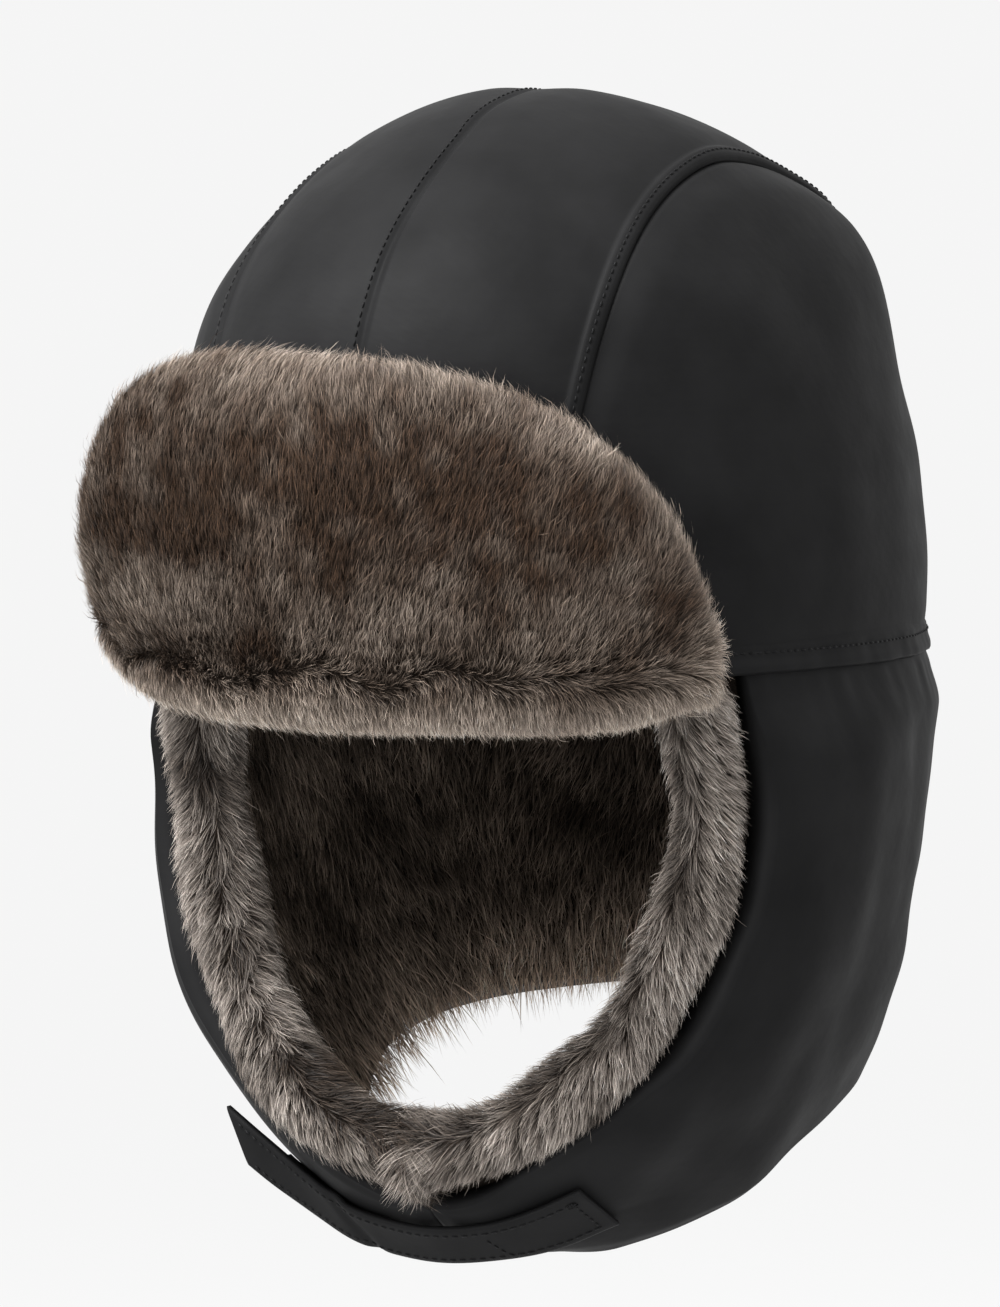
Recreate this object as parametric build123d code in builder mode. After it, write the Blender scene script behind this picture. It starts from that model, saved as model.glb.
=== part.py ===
"""Trapper hat: padded fabric crown, fur brim folded up, and earflaps closed under the chin.

Frame: +Z up, the face looks towards -Y, and the wearer's left is +X. The origin is the middle
of the wearer's head at the crown's lower edge, where the head holds the hat. Millimetres.
"""
from build123d import *
import math
import os

# Outer form: an egg that is flattened from side to side
HALF_WIDTH = 105.0        # across the earflaps
HALF_LENGTH = 125.0       # front to back
CROWN_TOP = 156.5         # height of the egg above the origin
SKIRT_BOTTOM = -178.0     # the egg's lowest point, at the chin
ROUNDNESS = 2.3           # 2 is an ellipsoid, more is boxier
CHIN_FORWARD = 8.0        # how far the egg leans forward at its lowest point
EGG_SECTIONS = 12

# Depths of the layers below the egg's surface; a negative depth lies outside it
FLAP_SKIN = (0.0, 1.0)
FLAP_WADDING = (1.3, 6.0)
FUR_LINING = (6.3, 20.0)
CENTRE_SKIN = (1.4, 2.4)
SIDE_SKIN = (1.7, 2.7)
CROWN_WADDING = (3.0, 7.5)
CROWN_LINING = (7.8, 21.0)
WAIST_BAND = (0.1, 1.1)
FUR_TRIM = (-0.5, 19.6)
BRIM_SKIN = (0.7, -0.4)
BRIM_STIFFENER = (-0.7, -3.4)
BRIM_FUR = (-3.7, -23.0)

# Heights of the seams and edges
WAIST_SEAM = 0.0
WAIST_FOLD = -6.0         # lower edge of the lapped band that covers the flaps' top seam
FLAP_TOP = -6.6
BROW_EDGE = -16.0         # lower edge of the crown behind the brim
BROW_DEPTH = -64.0        # the crown and the brim reach down only in front of this
BRIM_HALF_WIDTH = 98.0
BRIM_BOTTOM = -22.0
BRIM_TOP = 84.0
BRIM_CORNER = 40.0
BRIM_LOWER_CORNER = 6.0
TRIM_TOP = -24.0
TRIM_DEPTH = 9.0          # how far the fur trim stands in front of the earflap's front edge
NECK_SPLIT = 48.0         # the earflaps end and the neck flap begins here, going back
SPLIT_GAP = 0.6
SEAM_GAP = 0.2             # between pieces that are sewn edge to edge
LINING_LIFT = 10.0        # the lining's hem is this much higher than the fabric's

# Chin strap: a cone-shaped band across the chin, from the wearer's left to the right
STRAP_THICKNESS = 1.4
STRAP_HEIGHTS = (-128.0, -180.0)
STRAP_HALF_WIDTHS = (88.6, 40.4)
STRAP_HALF_LENGTHS = (102.4, 45.8)
STRAP_CENTRE = -6.0
STRAP_STITCH_X = 15.0     # the strap is sewn to the left earflap from here outwards
HOOK_THICKNESS = 0.8
LOOP_PATCH = (-1.0, -0.2)
FAR = 260.0               # larger than the hat in every direction

os.makedirs("parts", exist_ok=True)


def finish(piece, name):
    """Label a finished piece and write its file."""
    piece.label = name
    export_step(piece, f"parts/{name}.step")


def egg_section(z, depth):
    """Half width, half length and centre of the egg's outline at height z."""
    limit = (CROWN_TOP if z >= 0 else -SKIRT_BOTTOM) - depth
    share = (1 - (abs(z) / limit) ** ROUNDNESS) ** (1 / ROUNDNESS)
    lean = -CHIN_FORWARD * (z / SKIRT_BOTTOM) ** 2 if z < 0 else 0.0
    return (HALF_WIDTH - depth) * share, (HALF_LENGTH - depth) * share, lean


def egg(depth):
    """Everything inside the surface that lies depth below the hat's outside."""
    top = CROWN_TOP - depth
    bottom = SKIRT_BOTTOM + depth
    outlines = []
    for step in range(1, EGG_SECTIONS - 1):
        angle = math.pi * (step / (EGG_SECTIONS - 1) - 0.5)
        z = math.sin(angle) * (top if angle > 0 else -bottom)
        half_width, half_length, lean = egg_section(z, depth)
        with BuildSketch(Plane((0, lean, z))) as outline:
            Ellipse(half_width, half_length)
        outlines.append(outline.sketch)
    with BuildPart() as solid:
        loft([Vertex(0, -CHIN_FORWARD, bottom), *outlines, Vertex(0, 0, top)])
    return solid.part


def layer(depths):
    """The skin of the egg between two depths."""
    with BuildPart() as skin:
        add(egg(min(depths)))
        add(egg(max(depths)), mode=Mode.SUBTRACT)
    return skin.part


def block(low, high):
    """An upright box between two corners."""
    size = [b - a for a, b in zip(low, high)]
    with BuildPart() as solid:
        with Locations(low):
            Box(*size, align=(Align.MIN, Align.MIN, Align.MIN))
    return solid.part


def side_block(edge, *rest):
    """A block right across the hat, bounded in side view by a smooth edge and straight sides."""
    with BuildPart() as solid:
        with BuildSketch(Plane.YZ):
            with BuildLine():
                curve = Spline(*edge)
                Polyline(curve @ 1, *rest, curve @ 0)
            make_face()
        extrude(amount=FAR, both=True)
    return solid.part


def face_block(forward):
    """Everything in front of the earflaps' front edges, moved forward by the given length."""
    edge = [(-60, 20), (-57, -22), (-51, -46), (-50, -66), (-54, -87), (-61, -114),
            (-70, -128), (-75, -144), (-72, -162), (-72, -200)]
    moved = [(y - forward, z) for y, z in edge]
    return side_block(moved, (-FAR, -200), (-FAR, 20))


def hem_block(lift):
    """Everything below the hat's lower edge, which falls from the nape to the chin."""
    edge = [(140, -102), (95, -110), (60, -118), (22, -137), (0, -152), (-22, -167), (-44, -178)]
    raised = [(y, z + lift) for y, z in edge]
    return side_block(raised, (-44, -FAR), (140, -FAR))


def crown_zone():
    """Where the crown is: above the waist fold, and a little lower over the brow."""
    with BuildPart() as zone:
        add(block((-FAR, -FAR, WAIST_FOLD), (FAR, FAR, FAR)))
        add(block((-FAR, -FAR, BROW_EDGE), (FAR, BROW_DEPTH, WAIST_FOLD)))
    return zone.part


def centre_zone(gap):
    """The left half of the crown's centre panel, seen from above, drawn in by gap at its seams."""
    seam = [(56, -140), (57, -93), (59, -57), (62.3, -25), (62, 12), (56, 55), (46, 95), (38, 140)]
    seam = [(x - gap, y) for x, y in seam]
    with BuildPart() as zone:
        with BuildSketch(Plane.XY.offset(BROW_EDGE - 1)):
            with BuildLine():
                curve = Spline(*seam)
                Polyline(curve @ 1, (gap, 140), (gap, -140), curve @ 0)
            make_face()
        extrude(amount=FAR)
    return zone.part


def brim_zone():
    """The folded-up brim seen from the front: a wide panel with round upper corners."""
    height = BRIM_TOP - BRIM_BOTTOM
    with BuildPart() as zone:
        with BuildSketch(Plane.XZ.offset(-BROW_DEPTH)):
            with Locations((0, BRIM_BOTTOM + height / 2)):
                Rectangle(2 * BRIM_HALF_WIDTH, height)
            fillet(vertices().group_by(Axis.Y)[-1], radius=BRIM_CORNER)
            fillet(vertices().group_by(Axis.Y)[0], radius=BRIM_LOWER_CORNER)
        extrude(amount=FAR)
    return zone.part


def flap_zone(lift):
    """The left earflap's share of the skirt, between its front edge, the hem and the neck."""
    with BuildPart() as zone:
        add(block((SPLIT_GAP / 2, -FAR, -FAR), (FAR, NECK_SPLIT, FLAP_TOP)))
        add(face_block(-SEAM_GAP), mode=Mode.SUBTRACT)
        add(hem_block(lift), mode=Mode.SUBTRACT)
    return zone.part


def trim_zone():
    """A strip in front of the left earflap's front edge."""
    with BuildPart() as zone:
        add(block((SPLIT_GAP / 2, -FAR, -FAR), (FAR, NECK_SPLIT, TRIM_TOP)))
        add(face_block(0), mode=Mode.INTERSECT)
        add(face_block(TRIM_DEPTH), mode=Mode.SUBTRACT)
    return zone.part


def neck_zone(lift):
    """The neck flap's share of the skirt, behind the earflaps."""
    with BuildPart() as zone:
        add(block((-FAR, NECK_SPLIT + SPLIT_GAP, -FAR), (FAR, FAR, FLAP_TOP)))
        add(hem_block(lift), mode=Mode.SUBTRACT)
    return zone.part


def strap_band(clearance, thickness):
    """A cone-shaped wall in front of the chin; clearance moves it outwards."""
    with BuildPart() as wall:
        for grow, how in ((clearance + thickness, Mode.ADD), (clearance, Mode.SUBTRACT)):
            ends = []
            for z, half_width, half_length in zip(STRAP_HEIGHTS, STRAP_HALF_WIDTHS,
                                                  STRAP_HALF_LENGTHS):
                with BuildSketch(Plane((0, STRAP_CENTRE, z))) as end:
                    Ellipse(half_width + grow, half_length + grow)
                ends.append(end.sketch)
            loft(ends, ruled=True, mode=how)
        add(block((-FAR, -20, -FAR), (FAR, FAR, FAR)), mode=Mode.SUBTRACT)
    return wall.part


def strap_zone(start, end, margin):
    """The strap seen from the front, a smile-shaped band, between two upright cuts."""
    upper = [(46, -152), (16, -163), (-15, -163), (-46, -152), (-75, -132)]
    lower = [(-66, -150), (-52, -161), (-21, -175), (7, -176), (19, -174), (46, -164)]
    upper = [(x, z - margin) for x, z in upper]
    lower = [(x, z + margin) for x, z in lower]
    with BuildPart() as zone:
        with BuildSketch(Plane.XZ):
            with BuildLine():
                top_edge = Spline(*upper)
                bottom_edge = Spline(*lower)
                Line(top_edge @ 1, bottom_edge @ 0)
                Line(bottom_edge @ 1, top_edge @ 0)
            make_face()
        extrude(amount=FAR)
        add(block((start, -FAR, -FAR), (end, FAR, 0)), mode=Mode.INTERSECT)
    return zone.part


# Crown: two centre panels, two side panels, wadding and a fur lining
with BuildPart() as centre_left:
    add(layer(CENTRE_SKIN))
    add(crown_zone(), mode=Mode.INTERSECT)
    add(centre_zone(SEAM_GAP), mode=Mode.INTERSECT)
with BuildPart() as side_left:
    add(layer(SIDE_SKIN))
    add(crown_zone(), mode=Mode.INTERSECT)
    add(block((0, -FAR, -FAR), (FAR, FAR, FAR)), mode=Mode.INTERSECT)
    add(centre_zone(0), mode=Mode.SUBTRACT)
with BuildPart() as centre_right:
    add(centre_left.part)
    mirror(about=Plane.YZ, mode=Mode.REPLACE)
with BuildPart() as side_right:
    add(side_left.part)
    mirror(about=Plane.YZ, mode=Mode.REPLACE)
with BuildPart() as waist_band:
    add(layer(WAIST_BAND))
    add(block((-FAR, BROW_DEPTH, WAIST_FOLD), (FAR, FAR, WAIST_SEAM)), mode=Mode.INTERSECT)
with BuildPart() as crown_wadding:
    add(layer(CROWN_WADDING))
    add(crown_zone(), mode=Mode.INTERSECT)
with BuildPart() as crown_lining:
    add(layer(CROWN_LINING))
    add(crown_zone(), mode=Mode.INTERSECT)

finish(centre_left.part, "crown_centre_panel_left")
finish(centre_right.part, "crown_centre_panel_right")
finish(side_left.part, "crown_side_panel_left")
finish(side_right.part, "crown_side_panel_right")
finish(waist_band.part, "waist_band")
finish(crown_wadding.part, "crown_wadding")
finish(crown_lining.part, "crown_fur_lining")

# Neck flap, which stays with the crown: fabric, wadding and fur
for name, depths, lift in (("neck_flap_shell", FLAP_SKIN, 0.0),
                           ("neck_flap_wadding", FLAP_WADDING, 0.0),
                           ("neck_flap_fur_lining", FUR_LINING, LINING_LIFT)):
    with BuildPart() as neck_piece:
        add(layer(depths))
        add(neck_zone(lift), mode=Mode.INTERSECT)
    finish(neck_piece.part, name)

# Brim, folded up against the crown: fabric, a foam stiffener and the fur face
for name, depths in (("brim_shell", BRIM_SKIN), ("brim_stiffener", BRIM_STIFFENER),
                     ("brim_fur", BRIM_FUR)):
    with BuildPart() as brim_piece:
        add(layer(depths))
        add(brim_zone(), mode=Mode.INTERSECT)
    finish(brim_piece.part, name)

# Earflaps, alike on both sides: fabric, wadding, fur lining and the fur trim along the face
for name, depths, zone in (("shell", FLAP_SKIN, flap_zone(0.0)),
                           ("wadding", FLAP_WADDING, flap_zone(0.0)),
                           ("fur_lining", FUR_LINING, flap_zone(LINING_LIFT)),
                           ("fur_trim", FUR_TRIM, trim_zone())):
    with BuildPart() as left_piece:
        add(layer(depths))
        add(zone, mode=Mode.INTERSECT)
    with BuildPart() as right_piece:
        add(left_piece.part)
        mirror(about=Plane.YZ, mode=Mode.REPLACE)
    finish(left_piece.part, f"earflap_left_{name}")
    finish(right_piece.part, f"earflap_right_{name}")

# Chin strap: the end sewn to the left earflap, the free part and its hook patch
with BuildPart() as sewn_end:
    add(strap_band(0.0, STRAP_THICKNESS))
    add(strap_zone(STRAP_STITCH_X, 46, 0.0), mode=Mode.INTERSECT)
with BuildPart() as strap:
    add(strap_band(0.0, STRAP_THICKNESS))
    add(strap_zone(-80, STRAP_STITCH_X - 0.4, 0.0), mode=Mode.INTERSECT)
with BuildPart() as hook_patch:
    add(strap_band(-HOOK_THICKNESS - SEAM_GAP, HOOK_THICKNESS))
    add(strap_zone(-60, -24, 1.5), mode=Mode.INTERSECT)
with BuildPart() as loop_patch:
    add(layer(LOOP_PATCH))
    add(strap_zone(-56, -20, 1.5), mode=Mode.INTERSECT)
    add(block((-FAR, -FAR, -FAR), (FAR, -20, FAR)), mode=Mode.INTERSECT)

finish(sewn_end.part, "chin_strap_sewn_end")
finish(strap.part, "chin_strap")
finish(hook_patch.part, "hook_patch")
finish(loop_patch.part, "loop_patch")
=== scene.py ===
"""Trapper hat: the looks. Metres, in the CAD model's frame: -Y is the face, +X the wearer's left."""
import math

import bpy
import numpy as np
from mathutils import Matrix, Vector


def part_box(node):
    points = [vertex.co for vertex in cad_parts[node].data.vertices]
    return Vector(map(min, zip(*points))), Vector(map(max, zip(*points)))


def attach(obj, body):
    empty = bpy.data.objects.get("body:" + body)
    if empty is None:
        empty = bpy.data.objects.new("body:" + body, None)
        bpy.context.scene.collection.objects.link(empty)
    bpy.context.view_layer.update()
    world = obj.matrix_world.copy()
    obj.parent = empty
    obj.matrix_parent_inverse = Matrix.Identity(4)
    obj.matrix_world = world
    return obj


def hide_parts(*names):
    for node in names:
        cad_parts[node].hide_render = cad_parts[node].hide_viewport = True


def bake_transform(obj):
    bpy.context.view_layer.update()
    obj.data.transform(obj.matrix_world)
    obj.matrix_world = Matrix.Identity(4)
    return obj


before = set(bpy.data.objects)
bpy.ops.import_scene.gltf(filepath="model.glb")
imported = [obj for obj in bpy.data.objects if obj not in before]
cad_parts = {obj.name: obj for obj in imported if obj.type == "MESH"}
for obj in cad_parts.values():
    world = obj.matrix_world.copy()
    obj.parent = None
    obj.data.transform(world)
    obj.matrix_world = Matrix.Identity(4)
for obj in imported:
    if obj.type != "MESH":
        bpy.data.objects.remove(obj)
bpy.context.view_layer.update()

MM = 0.001
ROUNDNESS = 2.3            # the egg's power, as in the CAD model
CHIN_FORWARD = 8 * MM
HALF_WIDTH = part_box("earflap_left_shell")[1].x
HALF_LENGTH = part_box("neck_flap_shell")[1].y
CROWN_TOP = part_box("crown_centre_panel_left")[1].z + 1.4 * MM
SKIRT_DEPTH = 178 * MM
WAIST_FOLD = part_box("waist_band")[0].z
BRIM_HAIRS = 37500             # in each of its four parts
TRIM_HAIRS = 36000             # on each side
LINING_HAIRS = 38000           # on each side
CROWN_LINING_HAIRS = 26000
SEAM_ANGLE = math.radians(33)     # where the crown's lapped seams lie, from the middle
UP = np.array([0.0, 0.0, 1.0])


# ---------------------------------------------------------------- the egg-shaped form

def unit(v):
    return v / np.maximum(np.linalg.norm(v, axis=-1, keepdims=True), 1e-12)


def lean(z):
    return np.where(z < 0, -CHIN_FORWARD * (z / SKIRT_DEPTH) ** 2, 0.0)


def share(z, depth=0.0):
    """How wide the egg is at height z, as a share of its widest."""
    limit = np.where(z >= 0, CROWN_TOP, SKIRT_DEPTH) - depth
    return np.clip(1 - (np.abs(z) / limit) ** ROUNDNESS, 0, 1) ** (1 / ROUNDNESS)


def surface(d, depth=0.0):
    """The point of the egg in direction d, at a depth below its surface."""
    across = np.hypot(d[..., 0], d[..., 1])
    size = (across ** ROUNDNESS + np.abs(d[..., 2]) ** ROUNDNESS) ** (1 / ROUNDNESS)
    limit = np.where(d[..., 2] >= 0, CROWN_TOP, SKIRT_DEPTH) - depth
    z = limit * d[..., 2] / size
    k = 1 / size
    x = (HALF_WIDTH - depth) * k * d[..., 0]
    y = lean(z) + (HALF_LENGTH - depth) * k * d[..., 1]
    return np.stack([x, y, z], -1)


def normal(p, depth=0.0):
    """The outward normal of the egg through points p."""
    a, b = HALF_WIDTH - depth, HALF_LENGTH - depth
    h = np.where(p[..., 2] >= 0, CROWN_TOP, SKIRT_DEPTH) - depth
    y = p[..., 1] - lean(p[..., 2])
    s = np.maximum((p[..., 0] / a) ** 2 + (y / b) ** 2, 1e-9)
    grow = s ** (ROUNDNESS / 2 - 1)
    up = np.sign(p[..., 2]) * np.abs(p[..., 2]) ** (ROUNDNESS - 1) / h ** ROUNDNESS
    return unit(np.stack([grow * p[..., 0] / a ** 2, grow * y / b ** 2, up], -1))


def direction(theta, z, depth=0.0):
    """The direction of the egg's point at angle theta from the front and height z."""
    k = share(z, depth)
    h = np.where(z >= 0, CROWN_TOP, SKIRT_DEPTH) - depth
    return unit(np.stack([k * np.sin(theta), -k * np.cos(theta), z / h + 0 * theta], -1))


def bumps(p, size, seed):
    """Smooth noise between about -1 and 1 at points p; size is a bump's width."""
    rng = np.random.default_rng(seed)
    total = 0
    for _ in range(7):
        wave = unit(rng.normal(size=3)) * rng.uniform(0.7, 1.5) * math.pi / size
        total = total + np.sin(p @ wave + rng.uniform(0, 2 * math.pi))
    return total / 3.2


def smooth(x, low, high):
    t = np.clip((x - low) / (high - low), 0, 1)
    return t * t * (3 - 2 * t)


# ---------------------------------------------------------------- mesh helpers

def make_object(name, points, faces, body, slot=None, material=None):
    """A mesh object with smooth faces that rides on a body, or on none yet if body is None."""
    mesh = bpy.data.meshes.new(name)
    mesh.from_pydata([tuple(p) for p in points], [], faces)
    mesh.polygons.foreach_set("use_smooth", [True] * len(mesh.polygons))
    mesh.update()
    obj = bpy.data.objects.new(name, mesh)
    bpy.context.scene.collection.objects.link(obj)
    if material:
        mesh.materials.append(material)
    if body:
        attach(obj, body)
    return obj


def closed_patch(outer, inner):
    """Points and faces of a pad between two grids of the same shape, closed round its edge."""
    rows, columns = outer.shape[:2]
    points = np.concatenate([outer.reshape(-1, 3), inner.reshape(-1, 3)])
    count = rows * columns
    index = np.arange(count).reshape(rows, columns)
    a, b, c, d = index[:-1, :-1], index[:-1, 1:], index[1:, 1:], index[1:, :-1]
    front = np.stack([a, b, c, d], -1).reshape(-1, 4)
    back = front[:, ::-1] + count
    rim = np.concatenate([index[0, :-1], index[:-1, -1], index[-1, :0:-1], index[:0:-1, 0]])
    after = np.roll(rim, -1)
    side = np.stack([rim, rim + count, after + count, after], -1)
    return points, np.concatenate([front, back, side]).tolist()


def clean(obj, distance=0.02 * MM):
    """Join points that coincide and drop faces that have no area."""
    import bmesh
    work = bmesh.new()
    work.from_mesh(obj.data)
    bmesh.ops.remove_doubles(work, verts=work.verts, dist=distance)
    bmesh.ops.dissolve_degenerate(work, edges=work.edges, dist=distance / 2)
    bmesh.ops.recalc_face_normals(work, faces=work.faces)
    work.to_mesh(obj.data)
    work.free()
    obj.data.polygons.foreach_set("use_smooth", [True] * len(obj.data.polygons))
    obj.data.update()


# ---------------------------------------------------------------- materials

def new_material(name):
    material = bpy.data.materials.new(name)
    material.use_nodes = True
    tree = material.node_tree
    return material, tree, tree.nodes["Principled BSDF"]


def colour_ramp(tree, factor, stops):
    ramp = tree.nodes.new("ShaderNodeValToRGB")
    while len(ramp.color_ramp.elements) < len(stops):
        ramp.color_ramp.elements.new(0.5)
    for element, (place, colour) in zip(ramp.color_ramp.elements, stops):
        element.position = place
        element.color = (*colour, 1)
    tree.links.new(factor, ramp.inputs["Fac"])
    return ramp.outputs["Color"]


def noise(tree, scale, detail=2.0, stretch=(1, 1, 1)):
    place = tree.nodes.new("ShaderNodeTexCoord")
    mapping = tree.nodes.new("ShaderNodeMapping")
    mapping.inputs["Scale"].default_value = stretch
    node = tree.nodes.new("ShaderNodeTexNoise")
    node.inputs["Scale"].default_value = scale
    node.inputs["Detail"].default_value = detail
    tree.links.new(place.outputs["Object"], mapping.inputs["Vector"])
    tree.links.new(mapping.outputs["Vector"], node.inputs["Vector"])
    return node.outputs["Fac"]


def bump(tree, shader, height, distance, strength=1.0, below=None):
    node = tree.nodes.new("ShaderNodeBump")
    node.inputs["Distance"].default_value = distance
    node.inputs["Strength"].default_value = strength
    tree.links.new(height, node.inputs["Height"])
    if below is not None:
        tree.links.new(below, node.inputs["Normal"])
    tree.links.new(node.outputs["Normal"], shader.inputs["Normal"])
    return node.outputs["Normal"]


def weave(tree, pitch):
    """A fine plain weave from two crossed waves."""
    place = tree.nodes.new("ShaderNodeTexCoord")
    waves = []
    for axis in ("Z", "DIAGONAL"):
        wave = tree.nodes.new("ShaderNodeTexWave")
        wave.bands_direction = axis
        wave.inputs["Scale"].default_value = 1 / (pitch * 20)
        wave.inputs["Distortion"].default_value = 1.2
        wave.inputs["Detail"].default_value = 1.0
        tree.links.new(place.outputs["Object"], wave.inputs["Vector"])
        waves.append(wave.outputs["Fac"])
    join = tree.nodes.new("ShaderNodeMath")
    join.operation = "MULTIPLY"
    tree.links.new(waves[0], join.inputs[0])
    tree.links.new(waves[1], join.inputs[1])
    return join.outputs[0]


def shell_material():
    """Charcoal woven nylon with a soft satin gloss and faint puckers."""
    material, tree, shader = new_material("shell_nylon")
    tone = noise(tree, 38, 4)
    colour = colour_ramp(tree, tone, [(0.3, (0.0096, 0.0096, 0.0099)), (0.72, (0.0141, 0.0141, 0.0145))])
    tree.links.new(colour, shader.inputs["Base Color"])
    rough = tree.nodes.new("ShaderNodeMapRange")
    rough.inputs["To Min"].default_value = 0.46
    rough.inputs["To Max"].default_value = 0.62
    tree.links.new(noise(tree, 90, 3), rough.inputs["Value"])
    tree.links.new(rough.outputs["Result"], shader.inputs["Roughness"])
    shader.inputs["Specular IOR Level"].default_value = 0.04
    shader.inputs["Sheen Weight"].default_value = 0.0
    shader.inputs["Sheen Roughness"].default_value = 0.45
    fine = bump(tree, shader, weave(tree, 0.45 * MM), 0.05 * MM, 0.35)
    bump(tree, shader, noise(tree, 120, 4), 0.35 * MM, 0.5, below=fine)
    return material


def thread_material():
    material, tree, shader = new_material("thread")
    colour = colour_ramp(tree, noise(tree, 900, 2),
                         [(0.3, (0.003, 0.003, 0.003)), (0.8, (0.010, 0.010, 0.011))])
    tree.links.new(colour, shader.inputs["Base Color"])
    shader.inputs["Roughness"].default_value = 0.55
    shader.inputs["Specular IOR Level"].default_value = 0.12
    return material


def fur_material(name, gloss=0.5):
    """Hair whose colour is set along each strand."""
    material, tree, shader = new_material(name)
    colour = tree.nodes.new("ShaderNodeVertexColor")
    colour.layer_name = "Hair"
    tree.links.new(colour.outputs["Color"], shader.inputs["Base Color"])
    shader.inputs["Roughness"].default_value = gloss
    shader.inputs["Specular IOR Level"].default_value = 0.25
    return material


def backing_material(name, dark, light):
    """The dense short underfur at the strands' roots."""
    material, tree, shader = new_material(name)
    colour = colour_ramp(tree, noise(tree, 260, 6), [(0.3, dark), (0.75, light)])
    tree.links.new(colour, shader.inputs["Base Color"])
    shader.inputs["Roughness"].default_value = 0.9
    shader.inputs["Specular IOR Level"].default_value = 0.1
    bump(tree, shader, noise(tree, 900, 4), 1.2 * MM, 0.9)
    return material


def tape_material(name, dark, light, scale):
    """Hook-and-loop tape."""
    material, tree, shader = new_material(name)
    colour = colour_ramp(tree, noise(tree, scale, 5), [(0.3, dark), (0.7, light)])
    tree.links.new(colour, shader.inputs["Base Color"])
    shader.inputs["Roughness"].default_value = 0.9
    bump(tree, shader, noise(tree, scale * 4, 3), 0.4 * MM)
    return material


SHELL = shell_material()
THREAD = thread_material()
BRIM_HAIR = fur_material("brim_hair")
TRIM_HAIR = fur_material("trim_hair")
LINING_HAIR = fur_material("lining_hair", 0.6)
DARK_BACKING = backing_material("lining_underfur", (0.006, 0.0045, 0.0035), (0.022, 0.016, 0.012))
BROWN_BACKING = backing_material("brim_underfur", (0.012, 0.009, 0.007), (0.045, 0.033, 0.025))
TAPE = tape_material("hook_and_loop_tape", (0.008, 0.008, 0.008), (0.03, 0.03, 0.03), 800)


# ---------------------------------------------------------------- camera, lights and floor

VIEW_ANGLES = (math.radians(27), math.radians(4))     # to the wearer's left, and up
VIEW_DISTANCE = 3.0
VIEW_HEIGHT = 371 * MM         # what the picture's height spans at the hat
FLOOR_RADIUS, FLOOR_LEVEL = 150.0, -0.42
FLOOR_GLOW, FLOOR_GREY, SKY_GREY = 0.785, 0.14, 0.925   # together an even pale grey to the horizon


def set_view():
    """A long lens in front, to the wearer's left, a little above."""
    azimuth, elevation = VIEW_ANGLES
    back = Vector((math.sin(azimuth) * math.cos(elevation),
                   -math.cos(azimuth) * math.cos(elevation), math.sin(elevation)))
    right = Vector((math.cos(azimuth), math.sin(azimuth), 0))
    up = back.cross(right)
    middle = right * (-12.8 * MM) + up * (-6.9 * MM)
    data = bpy.data.cameras.new("camera")
    data.sensor_width = 36
    data.lens = 36 * VIEW_DISTANCE / VIEW_HEIGHT
    data.clip_end = 400
    camera = bpy.data.objects.new("camera", data)
    bpy.context.scene.collection.objects.link(camera)
    camera.location = middle + back * VIEW_DISTANCE
    camera.rotation_euler = back.to_track_quat("Z", "Y").to_euler()
    bpy.context.scene.camera = camera


def area_light(name, place, size, power):
    data = bpy.data.lights.new(name, "AREA")
    data.shape = "DISK"
    data.size = size
    data.energy = power
    data.spread = math.radians(55)
    light = bpy.data.objects.new(name, data)
    light.location = place
    light.rotation_euler = Vector(place).to_track_quat("Z", "Y").to_euler()
    bpy.context.scene.collection.objects.link(light)


def set_stage():
    world = bpy.data.worlds.new("studio")
    bpy.context.scene.world = world
    world.use_nodes = True
    world.node_tree.nodes["Background"].inputs["Color"].default_value = (SKY_GREY, SKY_GREY, SKY_GREY, 1)
    world.node_tree.nodes["Background"].inputs["Strength"].default_value = 1.0
    area_light("key", (-0.7, -1.1, 2.3), 1.5, 19)
    area_light("front", (-1.2, -2.3, 0.5), 1.2, 4.0)
    bpy.context.scene.view_settings.view_transform = "Standard"
    ring = [(FLOOR_RADIUS * math.cos(t), FLOOR_RADIUS * math.sin(t), FLOOR_LEVEL)
            for t in np.linspace(0, 2 * math.pi, 65)[:-1]]
    mesh = bpy.data.meshes.new("floor")
    mesh.from_pydata(ring, [], [list(range(len(ring)))])
    floor = bpy.data.objects.new("floor", mesh)
    bpy.context.scene.collection.objects.link(floor)
    material, _, shader = new_material("floor")
    shader.inputs["Base Color"].default_value = (FLOOR_GREY, FLOOR_GREY, FLOOR_GREY, 1)
    shader.inputs["Emission Color"].default_value = (1, 1, 1, 1)
    shader.inputs["Emission Strength"].default_value = FLOOR_GLOW
    shader.inputs["Roughness"].default_value = 1.0
    shader.inputs["Specular IOR Level"].default_value = 0.0
    mesh.materials.append(material)


set_view()
set_stage()


# ---------------------------------------------------------------- the crown's four panels

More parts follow.
